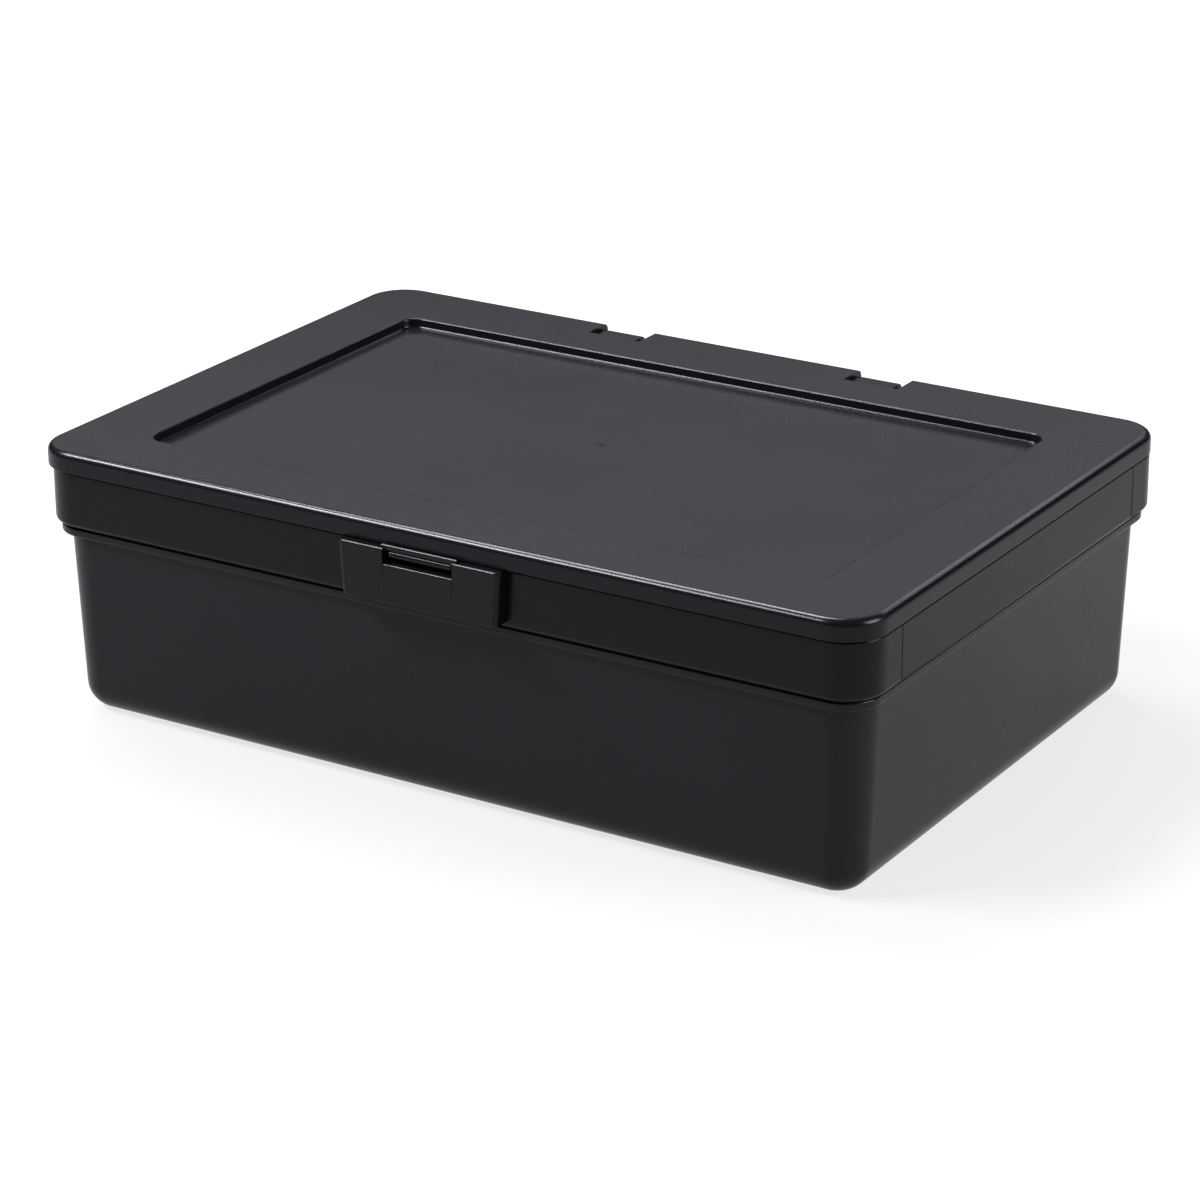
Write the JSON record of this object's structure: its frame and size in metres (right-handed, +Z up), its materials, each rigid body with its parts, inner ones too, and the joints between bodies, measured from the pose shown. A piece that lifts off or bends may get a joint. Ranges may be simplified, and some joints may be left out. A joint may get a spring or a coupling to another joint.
{
  "type": "toolbox with tray",
  "caption": "Flat moulded tool box with a hinged lid that has a sunk top panel, a press-to-open catch and a lift-out tray inside.",
  "frame": {"origin": "centre of the underside, where the flat floor rests", "axes": "+X along the length to the right, -Y to the front where the latch is, +Z up"},
  "size_m": [0.29, 0.1996, 0.0885],
  "materials": {
    "tub_plastic": "satin black polypropylene with a very fine grain",
    "frame_plastic": "satin black polypropylene with a very fine grain",
    "latch_plastic": "half-gloss black polypropylene",
    "lid_plastic": "satin black polypropylene, smoother on the rounded edge",
    "pin_steel": "bright drawn wire",
    "tray_plastic": "satin black polypropylene with a fine grain"
  },
  "bodies": {
    "base": {"base_shell": "tub_plastic", "rim_frame": "frame_plastic", "latch_plate": "latch_plastic"},
    "lid": {"lid_shell": "lid_plastic", "hinge_pin_left": "pin_steel", "hinge_pin_right": "pin_steel"},
    "catch": {"latch_catch": "latch_plastic"},
    "tray": {"lift_out_tray": "tray_plastic", "tray_grip": "tray_plastic", "tray_divider_left": "tray_plastic", "tray_divider_right": "tray_plastic"}
  },
  "joints": [
    {"name": "lid_hinge", "type": "hinge", "parent": "base", "child": "lid", "pos_m": [0, 0.09315, 0.08475], "axis": [-1, 0, 0], "range_deg": [0, 110]},
    {"name": "catch_press", "type": "hinge", "parent": "lid", "child": "catch", "pos_m": [0, -0.096, 0.0852], "axis": [1, 0, 0], "range_deg": [0, 16], "stiffness_Nm_per_rad": 0.3},
    {"name": "tray_lift", "type": "slide", "parent": "base", "child": "tray", "axis": [0, 0, 1], "range_m": [0, 0.04]}
  ],
  "couplings": [
    {"joint": "tray_lift", "follows": "lid_hinge", "m_per_rad": 0.02}
  ]
}
